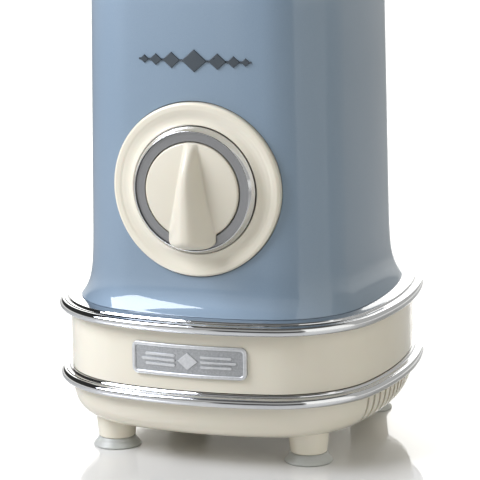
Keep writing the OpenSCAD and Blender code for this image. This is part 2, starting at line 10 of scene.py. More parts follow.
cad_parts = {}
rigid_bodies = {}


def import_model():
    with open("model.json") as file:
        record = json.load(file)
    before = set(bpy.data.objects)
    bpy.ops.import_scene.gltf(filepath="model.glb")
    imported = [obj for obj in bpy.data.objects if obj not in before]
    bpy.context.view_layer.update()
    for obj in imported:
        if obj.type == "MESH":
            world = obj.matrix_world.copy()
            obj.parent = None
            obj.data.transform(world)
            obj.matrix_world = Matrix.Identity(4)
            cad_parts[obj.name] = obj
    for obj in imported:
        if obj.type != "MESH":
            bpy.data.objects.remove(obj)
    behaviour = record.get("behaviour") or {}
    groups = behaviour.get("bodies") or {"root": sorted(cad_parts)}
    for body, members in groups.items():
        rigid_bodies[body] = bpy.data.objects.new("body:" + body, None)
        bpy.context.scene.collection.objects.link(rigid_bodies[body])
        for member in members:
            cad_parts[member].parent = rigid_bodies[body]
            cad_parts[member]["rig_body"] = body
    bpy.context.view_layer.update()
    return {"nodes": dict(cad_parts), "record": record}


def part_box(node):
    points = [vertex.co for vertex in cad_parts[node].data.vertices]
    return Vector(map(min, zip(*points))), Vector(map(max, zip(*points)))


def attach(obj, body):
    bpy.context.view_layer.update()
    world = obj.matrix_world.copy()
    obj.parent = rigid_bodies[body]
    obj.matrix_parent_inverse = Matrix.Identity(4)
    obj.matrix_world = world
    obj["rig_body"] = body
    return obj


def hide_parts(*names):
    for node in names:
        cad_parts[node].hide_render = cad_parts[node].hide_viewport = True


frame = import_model()
scene = bpy.context.scene
MM = 0.001


def mm_box(node):
    """A CAD node's lowest and highest corner, in millimetres."""
    low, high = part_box(node)
    return low / MM, high / MM


# ---- camera -------------------------------------------------------------------------

# Degrees round to the right, up and over sideways, then metres from the point it looks at
CAMERA_TURN = math.radians(19.66)
CAMERA_RISE = math.radians(12.29)
CAMERA_ROLL = math.radians(-0.81)
CAMERA_RANGE = 1372.09 * MM
LOOK_HEIGHT = 91.41 * MM
LOOK_SIDE = -1.6 * MM
LENS = 216.02


def make_camera():
    back = Vector((
        math.sin(CAMERA_TURN) * math.cos(CAMERA_RISE),
        -math.cos(CAMERA_TURN) * math.cos(CAMERA_RISE),
        math.sin(CAMERA_RISE),
    ))
    level = Vector((math.cos(CAMERA_TURN), math.sin(CAMERA_TURN), 0))
    rise = back.cross(level)
    right = math.cos(CAMERA_ROLL) * level + math.sin(CAMERA_ROLL) * rise
    up = math.cos(CAMERA_ROLL) * rise - math.sin(CAMERA_ROLL) * level
    place = level * LOOK_SIDE + Vector((0, 0, LOOK_HEIGHT)) + back * CAMERA_RANGE
    data = bpy.data.cameras.new("camera")
    data.lens = LENS
    data.sensor_width = 36
    data.clip_start = 0.05
    data.clip_end = 60
    data.dof.use_dof = False
    camera = bpy.data.objects.new("camera", data)
    scene.collection.objects.link(camera)
    camera.matrix_world = Matrix((
        (right.x, up.x, back.x, place.x),
        (right.y, up.y, back.y, place.y),
        (right.z, up.z, back.z, place.z),
        (0, 0, 0, 1),
    ))
    scene.camera = camera


make_camera()

# ---- shared sizes, in millimetres ---------------------------------------------------

STEPS = 18  # points along each bowed side and along each corner
AROUND = 144  # points round a turned piece
BASE_HALF = mm_box("lower_chrome_band")[1].x
BASE_CORNER = 52.5
BASE_BOW = 177.0
LOWER_BAND_Z = mm_box("lower_chrome_band")[0].z
BODY_Z = mm_box("upper_housing")[0].z
BODY_HALF = 64.0
BODY_CORNER = 33.0
BODY_BOW = 305.0
BODY_TAPER = 0.0137
TAPER_FROM_Z = 95.0
SKIRT_TUCK = 10.3
FLARE_LEN = 6.0
SHOULDER_Z = 212.0
DECK_Z = 235.0
DECK_R = 47.0
DECK_HOLE_R = 44.0
SHELL_TUCK = 5.4
WALL = 2.5
BADGE_PROUD = 1.5
FOOT_PITCH = 47.6
SCREW_X = 24.0
SCREW_Y = 56.0
DIAL_Z = (mm_box("dial_bezel")[0].z + mm_box("dial_bezel")[1].z) / 2
BEZEL_R = mm_box("dial_bezel")[1].x
DIAL_SEAT = 62.3  # the bezel's ledge, ahead of the motor axis, where the dial's rings stand
RING_WIDTH = 4.4
KNOB_R = mm_box("dial_face")[1].x - RING_WIDTH
JAR_R = 64.0
JAR_TOP_Z = mm_box("jar_glass")[1].z
NECK_Z = mm_box("jar_glass")[0].z
HANDLE_TURN = 45.0

# ---- mesh tools ---------------------------------------------------------------------


def ray(degrees):
    angle = math.radians(degrees)
    return Vector((math.cos(angle), math.sin(angle)))


def corner_arc(half, corner, bow):
    """Where a corner arc's centre lies along X and Y, and the degrees a side bows each way."""
    centre = (math.sqrt(2 * (bow - corner) ** 2 - (bow - half) ** 2) - (bow - half)) / 2
    return centre, math.degrees(math.asin(centre / (bow - corner)))


def outline(half, corner, bow, steps=STEPS):
    """A square outline with rounded corners and gently bowed sides."""
    centre, swing = corner_arc(half, corner, bow)
    points = []
    for side in range(4):
        for i in range(steps):
            points.append(
                (half - bow) * ray(90 * side) + bow * ray(90 * side + swing * (2 * i / steps - 1))
            )
        for i in range(steps):
            points.append(
                centre * math.sqrt(2) * ray(90 * side + 45)
                + corner * ray(90 * side + swing + (90 - 2 * swing) * i / steps)
            )
    return points


def round_outline(radius, half, corner, bow, steps=STEPS):
    """A circle whose points lie in the same directions as an outline's."""
    swing = corner_arc(half, corner, bow)[1]
    points = []
    for side in range(4):
        for i in range(steps):
            points.append(radius * ray(90 * side + swing * (2 * i / steps - 1)))
        for i in range(steps):
            points.append(radius * ray(90 * side + swing + (90 - 2 * swing) * i / steps))
    return points


def lift(points, z):
    return [(p[0], p[1], z) for p in points]


def base_ring(tuck, z, steps=STEPS):
    return lift(outline(BASE_HALF - tuck, BASE_CORNER - tuck, BASE_BOW - tuck, steps), z)


def body_size(z, tuck=0.0):
    """Half width, corner radius and bow of the blue body at a height."""
    flare = math.exp((BODY_Z - max(z, BODY_Z)) / FLARE_LEN)
    return (
        (BODY_HALF - BODY_TAPER * (z - TAPER_FROM_Z)) * (1 - flare)
        + (BASE_HALF - SKIRT_TUCK) * flare - tuck,
        BODY_CORNER * (1 - flare) + (BASE_CORNER - SKIRT_TUCK) * flare - tuck,
        BODY_BOW * (1 - flare) + (BASE_BOW - SKIRT_TUCK) * flare - tuck,
    )


def body_ring(z, tuck=0.0):
    return lift(outline(*body_size(z, tuck)), z)


def shoulder_ring(turn, tuck, rim_r):
    """One ring of the rounded shoulder: turn runs from 0 at the wall to 90 at the deck."""
    share = 1 - math.cos(math.radians(turn))
    size = body_size(SHOULDER_Z, tuck)
    z = SHOULDER_Z + (DECK_Z - tuck - SHOULDER_Z) * math.sin(math.radians(turn))
    pairs = zip(outline(*size), round_outline(rim_r, *size))
    return lift([a.lerp(b, share) for a, b in pairs], z)


def soften(points, closed=True, steps=5):
    """A profile of (x, y) or (x, y, radius) points with its corners rounded."""
    out = []
    count = len(points)
    for i, point in enumerate(points):
        here = Vector(point[:2])
        radius = point[2] if len(point) > 2 else 0
        if radius == 0 or (not closed and i in (0, count - 1)):
            out.append(here)
            continue
        before = Vector(points[i - 1][:2]) - here
        after = Vector(points[(i + 1) % count][:2]) - here
        half = before.angle(after) / 2
        if half > math.radians(88):
            out.append(here)
            continue
        reach = min(radius / math.tan(half), before.length * 0.48, after.length * 0.48)
        radius = reach * math.tan(half)
        before.normalize()
        after.normalize()
        centre = here + (before + after).normalized() * (radius / math.sin(half))
        start = here + before * reach - centre
        end = here + after * reach - centre
        for k in range(steps + 1):
            spoke = start.lerp(end, k / steps)
            out.append(centre + spoke.normalized() * radius)
    return out


def flow(points, steps=6):
    """A smooth curve through a list of 2D points (Catmull-Rom)."""
    knots = [Vector(p) for p in points]
    knots = [2 * knots[0] - knots[1]] + knots + [2 * knots[-1] - knots[-2]]
    out = []
    for i in range(1, len(knots) - 2):
        a, b, c, d = knots[i - 1:i + 3]
        for k in range(steps):
            t = k / steps
            out.append(0.5 * (
                2 * b + (c - a) * t + (2 * a - 5 * b + 4 * c - d) * t * t
                + (3 * b - a - 3 * c + d) * t ** 3
            ))
    return out + [knots[-2]]


def weave(rings, closed=False):
    """Vertices and faces of a skin over a list of rings. A ring of one point is a pole."""
    verts, starts, faces = [], [], []
    for ring in rings:
        starts.append(len(verts))
        verts.extend(tuple(p) for p in ring)
    count = len(rings)
    for a in range(count if closed else count - 1):
        b = (a + 1) % count
        size_a, size_b = len(rings[a]), len(rings[b])
        for j in range(max(size_a, size_b)):
            k = j + 1
            face = dict.fromkeys([
                starts[a] + j % size_a, starts[a] + k % size_a,
                starts[b] + k % size_b, starts[b] + j % size_b,
            ])
            if len(face) > 2:
                faces.append(list(face))
    return verts, faces


def turned(profile, count=AROUND):
    """Vertices and faces of a profile of (radius, height) points turned round the Z axis."""
    rings = []
    for radius, z in profile:
        if radius < 1e-6:
            rings.append([(0, 0, z)])
        else:
            rings.append(lift([radius * ray(360 * i / count) for i in range(count)], z))
    return weave(rings, closed=len(rings[0]) > 1 and len(rings[-1]) > 1)


def joined(*parts):
    """Several (vertices, faces) lists as one."""
    verts, faces = [], []
    for part_verts, part_faces in parts:
        shift = len(verts)
        verts.extend(part_verts)
        faces.extend([[i + shift for i in face] for face in part_faces])
    return verts, faces


def moved(part, x=0.0, y=0.0, turn=0.0):
    spin = Matrix.Rotation(math.radians(turn), 3, "Z")
    return [tuple(spin @ Vector(v) + Vector((x, y, 0))) for v in part[0]], part[1]


def facing_front(part):
    """From dial axes (right, up, out) to the frame's."""
    return [(x, -out, up + DIAL_Z) for x, up, out in part[0]], part[1]


def make(name, part):
    """A mesh object, in metres, with its faces turned outwards."""
    mesh = bpy.data.meshes.new(name)
    mesh.from_pydata([Vector(v) * MM for v in part[0]], [], part[1])
    work = bmesh.new()
    work.from_mesh(mesh)
    bmesh.ops.remove_doubles(work, verts=work.verts, dist=1e-7)
    bmesh.ops.recalc_face_normals(work, faces=work.faces)
    work.to_mesh(mesh)
    work.free()
    obj = bpy.data.objects.new(name, mesh)
    scene.collection.objects.link(obj)
    return obj


def carve(obj, *tools, operation="DIFFERENCE"):
    """Cuts the tools out of obj, or joins them to it, and removes the tools."""
    for tool in tools:
        modifier = obj.modifiers.new("carve", "BOOLEAN")
        modifier.operation = operation
        modifier.solver = "EXACT"
        modifier.use_self = len(tools) == 1 and operation == "UNION"
        modifier.object = tool
    bpy.context.view_layer.update()
    result = bpy.data.meshes.new_from_object(
        obj.evaluated_get(bpy.context.evaluated_depsgraph_get())
    )
    obj.modifiers.clear()
    old, obj.data = obj.data, result
    bpy.data.meshes.remove(old)
    for tool in tools:
        data = tool.data
        bpy.data.objects.remove(tool)
        bpy.data.meshes.remove(data)


def smooth(obj, sharp=40.0):
    obj.data.shade_smooth()
    obj.data.set_sharp_from_angle(angle=math.radians(sharp))
    weighted = obj.modifiers.new("normals", "WEIGHTED_NORMAL")
    weighted.keep_sharp = True
    weighted.weight = 60


# ---- materials ----------------------------------------------------------------------


class Finish:
    """A Principled material with its procedural nodes, in the frame's own coordinates."""

    def __init__(self, name, **values):
        self.material = bpy.data.materials.new(name)
        self.material.use_nodes = True
        self.nodes = self.material.node_tree.nodes
        self.links = self.material.node_tree.links
        self.shader = self.nodes["Principled BSDF"]
        for key, value in values.items():
            self.shader.inputs[key.replace("_", " ")].default_value = value
        self.place = self.nodes.new("ShaderNodeTexCoord").outputs["Object"]
        self.last_bump = None

    def node(self, kind, **sockets):
        made = self.nodes.new(kind)
        for key, value in sockets.items():
            socket = made.inputs[key.replace("_", " ")]
            if isinstance(value, bpy.types.NodeSocket):
                self.links.new(value, socket)
            else:
                socket.default_value = value
        return made

    def stretched(self, x, y, z):
        return self.node("ShaderNodeMapping", Vector=self.place, Scale=(x, y, z)).outputs[0]

    def noise(self, scale, detail=2.0, at=None):
        return self.node(
            "ShaderNodeTexNoise", Vector=at or self.place, Scale=scale, Detail=detail
        ).outputs["Fac"]

    def math(self, operation, a, b=0.0, c=0.0):
        made = self.nodes.new("ShaderNodeMath")
        made.operation = operation
        for socket, value in zip(made.inputs, (a, b, c)):
            if isinstance(value, bpy.types.NodeSocket):
                self.links.new(value, socket)
            else:
                socket.default_value = value
        return made.outputs[0]

    def spread(self, value, low, high, from_low=0.3, from_high=0.7):
        return self.node(
            "ShaderNodeMapRange", Value=value, From_Min=from_low, From_Max=from_high,
            To_Min=low, To_Max=high,
        ).outputs[0]

    def blend(self, share, first, second, low=0.3, high=0.7):
        ramp = self.node("ShaderNodeValToRGB", Fac=share)
        ramp.color_ramp.elements[0].position = low
        ramp.color_ramp.elements[0].color = (*first, 1)
        ramp.color_ramp.elements[1].position = high
        ramp.color_ramp.elements[1].color = (*second, 1)
        return ramp.outputs[0]

    def mix(self, share, first, second):
        made = self.nodes.new("ShaderNodeMix")
        made.data_type = "RGBA"
        for socket, value in zip((made.inputs[0], made.inputs[6], made.inputs[7]),
                                 (share, first, second)):
            self.links.new(value, socket)
        return made.outputs[2]

    def colour(self, socket):
        self.links.new(socket, self.shader.inputs["Base Color"])

    def rough(self, socket):
        self.links.new(socket, self.shader.inputs["Roughness"])

    def bump(self, height, distance, strength=1.0):
        made = self.node("ShaderNodeBump", Height=height, Strength=strength, Distance=distance)
        if self.last_bump:
            self.links.new(self.last_bump, made.inputs["Normal"])
        self.last_bump = made.outputs[0]
        self.links.new(self.last_bump, self.shader.inputs["Normal"])

    def radius(self, centre, axis):
        """Distance from an axis through centre, in metres."""
        apart = self.node("ShaderNodeVectorMath")
        apart.operation = "SUBTRACT"
        self.links.new(self.place, apart.inputs[0])
        apart.inputs[1].default_value = centre
        flat = self.nodes.new("ShaderNodeVectorMath")
        flat.operation = "MULTIPLY"
        self.links.new(apart.outputs[0], flat.inputs[0])
        flat.inputs[1].default_value = tuple(0.0 if i == axis else 1.0 for i in range(3))
        length = self.nodes.new("ShaderNodeVectorMath")
        length.operation = "LENGTH"
        self.links.new(flat.outputs[0], length.inputs[0])
        return length.outputs["Value"]


def plastic(name, first, second, rough=(0.2, 0.3), grain=700.0, grain_depth=0.00001, **values):
    """Moulded plastic: a slow drift of colour, faint orange peel and a fine surface grain."""
    made = Finish(name, **values)
    made.colour(made.blend(made.noise(22, 3), first, second))
    made.rough(made.spread(made.noise(90, 4), *rough))
    made.bump(made.noise(140, 2), 0.00004, 0.25)
    made.bump(made.noise(grain, 3), grain_depth, 0.5)
    return made.material


def metal(name, first, second, rough=(0.2, 0.35), stretch=(60, 60, 900), depth=0.00001, **values):
    """Worked metal: tool marks drawn out along one direction, with a little tarnish."""
    made = Finish(name, Metallic=1.0, **values)
    marks = made.noise(1.0, 4, at=made.stretched(*stretch))
    made.colour(made.blend(made.noise(60, 4), first, second))
    made.rough(made.spread(marks, *rough))
    made.bump(marks, depth, 0.6)
    return made.material


def blue_lacquer():
    made = Finish(
        "blue_lacquer", Metallic=0.3, Coat_Weight=1.0, Coat_Roughness=0.02, Coat_IOR=1.5,
        Specular_IOR_Level=0.2,
    )
    pearl = made.noise(5200, 1)
    made.colour(made.mix(
        made.spread(made.noise(14, 2), 0.0, 1.0),
        made.blend(pearl, (0.216, 0.292, 0.372), (0.250, 0.328, 0.408)),
        made.blend(pearl, (0.224, 0.300, 0.378), (0.258, 0.334, 0.412)),
    ))
    made.rough(made.spread(pearl, 0.58, 0.64))
    made.bump(made.noise(160, 2), 0.00003, 0.2)
    return made.material


def chrome_plate():
    made = Finish("chrome_plate", Metallic=1.0)
    made.colour(made.blend(made.noise(40, 3), (0.62, 0.63, 0.645), (0.68, 0.69, 0.70)))
    made.rough(made.spread(made.noise(220, 4), 0.02, 0.07))
    made.bump(made.noise(70, 1), 0.00002, 0.2)
    return made.material


def badge_silver():
    made = Finish("badge_silver", Metallic=0.75)
    apart = made.node("ShaderNodeSeparateXYZ", Vector=made.place)
    squared = made.math("MULTIPLY", apart.outputs["X"], apart.outputs["X"])
    bend = -0.5 / ((BASE_BOW - SHELL_TUCK) * MM)
    depth = made.math("MULTIPLY_ADD", squared, bend, apart.outputs["Y"])
    front = (SHELL_TUCK - BASE_HALF - BADGE_PROUD) * MM
    sunk = made.spread(depth, 0.0, 1.0, front + 0.00035, front + 0.0006)
    made.colour(made.mix(
        sunk,
        made.blend(made.noise(900, 2), (0.66, 0.67, 0.68), (0.74, 0.75, 0.76)),
        made.blend(made.noise(1600, 2), (0.38, 0.39, 0.40), (0.52, 0.53, 0.54)),
    ))
    made.rough(made.spread(made.noise(700, 3), 0.3, 0.42))
    made.bump(made.noise(2400, 2), 0.00002, 0.5)
    return made.material


def dial_grey():
    made = Finish("dial_grey", Metallic=0.9, Anisotropic=0.4)
    reach = made.radius((0, 0, DIAL_Z * MM), 1)
    line = made.node("ShaderNodeCombineXYZ", X=made.math("MULTIPLY", reach, 3400.0)).outputs[0]
    groove = made.noise(1.0, 3, at=line)
    made.colour(made.blend(groove, (0.27, 0.272, 0.278), (0.41, 0.412, 0.418)))
    made.rough(made.spread(groove, 0.32, 0.5))
    made.bump(groove, 0.00003, 0.6)
    return made.material


def jar_clear():
    made = Finish("jar_clear", Transmission_Weight=1.0, IOR=1.5)
    made.colour(made.blend(made.noise(20, 2), (0.93, 0.975, 0.965), (0.96, 0.985, 0.98)))
    made.rough(made.spread(made.noise(120, 3), 0.0, 0.02))
    made.bump(made.noise(35, 2), 0.0001, 0.15)
    return made.material


def lamination():
    made = Finish("lamination", Metallic=0.85)
    height = made.node("ShaderNodeSeparateXYZ", Vector=made.place).outputs["Z"]
    sheet = made.math("PINGPONG", height, 0.00025)
    edge = made.spread(sheet, 0.0, 1.0, 0.00002, 0.00008)
    made.colour(made.mix(
        edge,
        made.blend(made.noise(200, 4), (0.05, 0.04, 0.035), (0.09, 0.06, 0.04)),
        made.blend(made.noise(90, 4), (0.20, 0.20, 0.21), (0.31, 0.31, 0.32)),
    ))
    made.rough(made.spread(made.noise(150, 4), 0.4, 0.6))
    made.bump(edge, 0.00005, 0.8)
    return made.material


def board_green():
    made = Finish("board_green", Coat_Weight=0.5, Coat_Roughness=0.15)
    tracks = made.node("ShaderNodeTexBrick", Vector=made.place, Scale=160.0, Mortar_Size=0.012)
    made.colour(made.mix(
        tracks.outputs["Fac"],
        made.blend(made.noise(60, 3), (0.02, 0.11, 0.05), (0.03, 0.15, 0.07)),
        made.blend(made.noise(300, 2), (0.06, 0.24, 0.12), (0.08, 0.28, 0.14)),
    ))
    made.rough(made.spread(made.noise(400, 3), 0.3, 0.5))
    made.bump(tracks.outputs["Fac"], 0.00003, 0.6)
    return made.material


def silicone(name, first, second, **values):
    made = Finish(name, Subsurface_Scale=0.002, IOR=1.41, **values)
    made.shader.inputs["Subsurface Radius"].default_value = (1.0, 1.0, 0.9)
    made.colour(made.blend(made.noise(140, 3), first, second))
    made.rough(made.spread(made.noise(350, 3), 0.28, 0.42))
    made.bump(made.noise(900, 3), 0.00002, 0.4)
    return made.material


MATERIALS = {
    "cream_plastic": plastic(
        "cream_plastic", (0.765, 0.712, 0.580), (0.790, 0.742, 0.618), rough=(0.16, 0.24),
        Coat_Weight=0.4, Coat_Roughness=0.05, Subsurface_Weight=0.06, Subsurface_Scale=0.002,
    ),
    "blue_plastic": blue_lacquer(),
    "chrome_trim": chrome_plate(),
    "badge_silver": badge_silver(),
    "emblem_grey": plastic(
        "emblem_grey", (0.055, 0.070, 0.082), (0.085, 0.100, 0.115), rough=(0.25, 0.38),
        Metallic=0.3,
    ),
    "dial_grey": dial_grey(),
    "knob_cream": plastic(
        "knob_cream", (0.698, 0.651, 0.535), (0.721, 0.677, 0.567), rough=(0.30, 0.38),
        Coat_Weight=0.15, Coat_Roughness=0.12, Subsurface_Weight=0.06, Subsurface_Scale=0.002,
    ),
    "black_plastic": plastic(
        "black_plastic", (0.018, 0.018, 0.020), (0.030, 0.030, 0.032), rough=(0.35, 0.5),
        grain=1500.0, grain_depth=0.00003,
    ),
    "steel": metal("steel", (0.50, 0.51, 0.53), (0.62, 0.63, 0.64)),
    "copper": metal(
        "copper", (0.62, 0.26, 0.12), (0.78, 0.37, 0.18), rough=(0.25, 0.4),
        stretch=(120, 120, 2600), depth=0.0001,
    ),
    "bronze": metal(
        "bronze", (0.42, 0.31, 0.17), (0.52, 0.40, 0.24), rough=(0.4, 0.55),
        stretch=(900, 900, 900), depth=0.00003,
    ),
    "lamination": lamination(),
    "carbon": plastic("carbon", (0.02, 0.02, 0.02), (0.045, 0.045, 0.045), rough=(0.5, 0.7)),
    "fan_plastic": plastic(
        "fan_plastic", (0.60, 0.57, 0.50), (0.66, 0.63, 0.56), rough=(0.4, 0.55)
    ),
    "board_green": board_green(),
    "component_grey": plastic(
        "component_grey", (0.07, 0.07, 0.08), (0.19, 0.19, 0.20), rough=(0.3, 0.5)
    ),
    "dark_rubber": plastic(
        "dark_rubber", (0.014, 0.014, 0.015), (0.026, 0.026, 0.027), rough=(0.5, 0.68),
        grain=2200.0, grain_depth=0.00003,
    ),
    "foot_silicone": silicone(
        "foot_silicone", (0.74, 0.76, 0.71), (0.80, 0.81, 0.77),
        Transmission_Weight=0.45, Subsurface_Weight=0.3,
    ),
    "seal_silicone": silicone(
        "seal_silicone", (0.62, 0.60, 0.54), (0.70, 0.68, 0.62), Subsurface_Weight=0.2
    ),
    "jar_clear": jar_clear(),
    "blade_steel": metal(
        "blade_steel", (0.58, 0.59, 0.61), (0.70, 0.71, 0.72), rough=(0.12, 0.26),
        stretch=(900, 40, 40),
    ),
}

SLOT_OF = {row["node"]: row["material_slot"] for row in frame["record"]["subparts"]}
BODY_OF = {node: obj["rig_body"] for node, obj in frame["nodes"].items()}


def dress(obj, slot_name):
    obj.data.materials.clear()
    obj.data.materials.append(MATERIALS[slot_name])


def settle(obj, node, sharp=40.0):
    """Makes obj the visible piece of a CAD node: same body, same slot."""
    smooth(obj, sharp)
    dress(obj, SLOT_OF[node])
    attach(obj, BODY_OF[node])
    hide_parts(node)


for node_name, node_object in frame["nodes"].items():
    dress(node_object, SLOT_OF[node_name])

# ---- base ---------------------------------------------------------------------------


def at_corners(part, x, y):
    return joined(*[moved(part, sx * x, sy * y) for sx in (-1, 1) for sy in (-1, 1)])


def chrome_band(node):
    z = mm_box(node)[0].z
    bead = [(2.1 - 2.1 * math.sin(math.radians(a)), 2.25 - 2.25 * math.cos(math.radians(a)))
            for a in range(6, 180, 6)]
    profile = [(5.2, 0), (2.6, 0)] + bead + soften(
        [(2.3, 4.5), (2.6, 4.75, 0.1), (3.9, 4.85, 0.15), (4.1, 5.2, 0.1), (4.5, 5.7, 0.15),
         (12.5, 5.7), (12.5, 4.3), (5.2, 4.2)],
        closed=False, steps=4,
    )
    rings = [base_ring(t, z + h, 3 * STEPS) for t, h in profile]
    settle(make(node + "_smooth", weave(rings, closed=True)), node)


VENT_PITCH = 6
VENT_LOW = 19
VENT_HIGH = 28
VENT_FROM_X = 58
VENT_TO_X = 84


def vent_slots():
    """Thirteen upright slots with round ends on each side, as cutters."""
    slots = []
    for side in (-1, 1):
        for i in range(-6, 7):
            middle = VENT_PITCH * i
            arc = [(middle + ray(a).x, VENT_HIGH + ray(a).y) for a in range(0, 181, 30)]
            arc += [(middle + ray(a).x, VENT_LOW + ray(a).y) for a in range(180, 361, 30)]
            start, end = side * VENT_FROM_X, side * VENT_TO_X
            half_way = (VENT_LOW + VENT_HIGH) / 2
            slots.append(weave([
                [(start, middle, half_way)],
                [(start, y, z) for y, z in arc],
                [(end, y, z) for y, z in arc],
                [(end, middle, half_way)],
            ]))
    return joined(*slots)


def build_lower_housing():
    top = LOWER_BAND_Z + 4.1
    outer = flow([
        (34, 12), (27, 12.15), (21, 12.7), (17, 13.6), (13.6, 14.9), (10.8, 16.6),
        (8.6, 18.8), (6.9, 22), (5.9, 26), (SHELL_TUCK, 31),
    ]) + [Vector((SHELL_TUCK, top))]
    inner = [Vector((SHELL_TUCK + WALL, top))] + flow([
        (SHELL_TUCK + WALL, 31), (8.4, 26), (9.4, 23), (11.4, 20.4), (14.6, 18),
        (18.4, 16.1), (23, 15), (34, 14.5),
    ], 3)
    rings = [[(0, 0, 12)]] + [base_ring(t, z) for t, z in outer + inner] + [[(0, 0, 14.5)]]
    shell = make("lower_housing_smooth", weave(rings))
    stub = turned(soften(
        [(0, 4.6), (8.6, 4.6, 0.7), (9.95, 17.2), (0, 17.2)], closed=False
    ), 64)
    carve(shell, make("stubs", at_corners(stub, FOOT_PITCH, FOOT_PITCH)), operation="UNION")
    socket = turned([(0, 2), (4.1, 2), (4.1, 13.2), (0, 13.2)], 48)
    well = turned([(0, 9), (4.3, 9), (4.3, 16.2), (0, 16.2)], 48)
    carve(
        shell,
        make("vents", vent_slots()),
        make("sockets", at_corners(socket, FOOT_PITCH, FOOT_PITCH)),
        make("wells", at_corners(well, SCREW_X, SCREW_Y)),
    )
    settle(shell, "lower_housing", 32)


GLAND_HALF = 9.0  # half the side of the cord gland's outer flange
GLAND_SLOT_HALF = 6.0


def build_mid_housing():
    low, high = (corner.z for corner in mm_box("mid_housing"))
    profile = soften([
        (SHELL_TUCK, low, 0.3), (SHELL_TUCK, high, 0.3),
        (SHELL_TUCK + WALL, high, 0.3), (SHELL_TUCK + WALL, low, 0.3),
    ])
    shell = make("mid_housing_smooth", weave([base_ring(t, z) for t, z in profile], closed=True))
    bottom = mm_box("cord_gland")[0].z + GLAND_HALF - GLAND_SLOT_HALF
    slot = box_part((-GLAND_SLOT_HALF, 60, bottom), (GLAND_SLOT_HALF, 90, high + 1))
    carve(shell, make("gland_slot", slot))
    settle(shell, "mid_housing")


def build_suction_feet():
    profile = [(0, 2)] + flow([
        (5, 1.6), (7.4, 0.8), (8.8, 0.05), (10.4, 0.0), (11.15, 0.35), (11.1, 0.95),
        (10.3, 1.9), (9.5, 2.9), (9.05, 3.8), (8.5, 4.5),
    ], 4) + [Vector((3.8, 4.5)), Vector((3.8, 12)), Vector((2.8, 12.8)), Vector((0, 12.8))]
    feet = at_corners(turned(profile, 72), FOOT_PITCH, FOOT_PITCH)
    settle(make("suction_feet_smooth", feet), "suction_feet")


CUP_BACK = 57.4  # the dial's cup, ahead of the motor axis
CUP_FLOOR = 59.5
CUP_RIM = 60.3
CUP_BEND = 0.0009  # keeps the rim behind the bowed front


def build_upper_housing():
    # The rings lie closer together in the flared skirt
    heights = [BODY_Z + 0.9 + 138.0 * (i / 64) ** 1.9 for i in range(65)]
    edge = [(0.5, BODY_Z - 0.2), (0.15, BODY_Z - 0.1), (0.02, BODY_Z + 0.2)]
    rings = [body_ring(z, tuck) for tuck, z in edge]
    rings += [body_ring(z) for z in heights]
    rings += [shoulder_ring(a, 0, DECK_R) for a in range(0, 91, 5)]
    rings += [lift(round_outline(r, *body_size(SHOULDER_Z)), DECK_Z - drop)
              for r, drop in ((44.4, 0), (DECK_HOLE_R, 0.4))]
    rings += [shoulder_ring(a, WALL, DECK_HOLE_R) for a in range(90, -1, -10)]
    rings += [body_ring(z, WALL) for z in reversed(heights[::4])]
    rings += [body_ring(BODY_Z - 0.2, WALL)]
    shell = make("upper_housing_smooth", weave(rings, closed=True))
    hole = turned([(0, 40), (BEZEL_R + 0.35, 40), (BEZEL_R + 0.35, 90), (0, 90)], 180)
    carve(shell, make("hole", facing_front(hole)))
    cup = soften([
        (5, CUP_BACK), (BEZEL_R + 2.8, CUP_BACK, 0.5), (BEZEL_R + 2.8, CUP_RIM, 0.3),
        (BEZEL_R + 0.36, CUP_RIM), (BEZEL_R + 0.36, CUP_FLOOR), (5, CUP_FLOOR),
    ])
    verts, faces = turned(cup, 180)
    sunk = [(x, up, out - CUP_BEND * x * x if out > CUP_RIM - 0.5 else out)
            for x, up, out in verts]
    carve(shell, make("cup", facing_front((sunk, faces))), operation="UNION")
    settle(shell, "upper_housing", 30)


def body_front(x, z):
    """How far the blue body's front lies ahead of the motor axis."""
    half, _, bow = body_size(z)
    return half - bow + math.sqrt(bow * bow - x * x)


def raised_plate(points, z, low, high, edge):
    """A tile on the front: low and high give its back and front, ahead of the axis, at an X."""
    centre = sum((Vector(p) for p in points), Vector((0, 0))) / len(points)
    rings = []
    for inset, level in ((0.0, 0.0), (0.0, 1.0 - edge), (edge * 0.6, 1.0)):
        ring = []
        for p in points:
            spot = Vector(p)
            away = spot - centre
            spot -= away.normalized() * min(inset, away.length * 0.6)
            depth = low(spot.x) * (1 - level) + high(spot.x) * level
            ring.append((spot.x, -depth, z + spot.y))
        rings.append(ring)
    back = [(centre.x, -low(centre.x), z + centre.y)]
    front = [(centre.x, -high(centre.x), z + centre.y)]
    return weave([back] + rings + [front])


def round_rect(width, height, radius, steps=8, along=10):
    """A rounded rectangle with extra points along its long sides, so that it can bend."""
    points = []
    for side in range(4):
        sx = 1 if side in (0, 3) else -1
        sy = 1 if side < 2 else -1
        corner = Vector((sx * (width / 2 - radius), sy * (height / 2 - radius)))
        arc = [corner + radius * ray(90 * side + 90 * i / steps) for i in range(steps + 1)]
        points += arc
        if side in (0, 2):
            step = -sx * (width - 2 * radius) / along
            points += [arc[-1] + Vector((step * i, 0)) for i in range(1, along)]
    return points


def diamond(width, height, steps=6):
    tips = [Vector((width / 2, 0)), Vector((0, height / 2)), Vector((-width / 2, 0)),
            Vector((0, -height / 2))]
    return [tips[i].lerp(tips[(i + 1) % 4], k / steps) for i in range(4) for k in range(steps)]


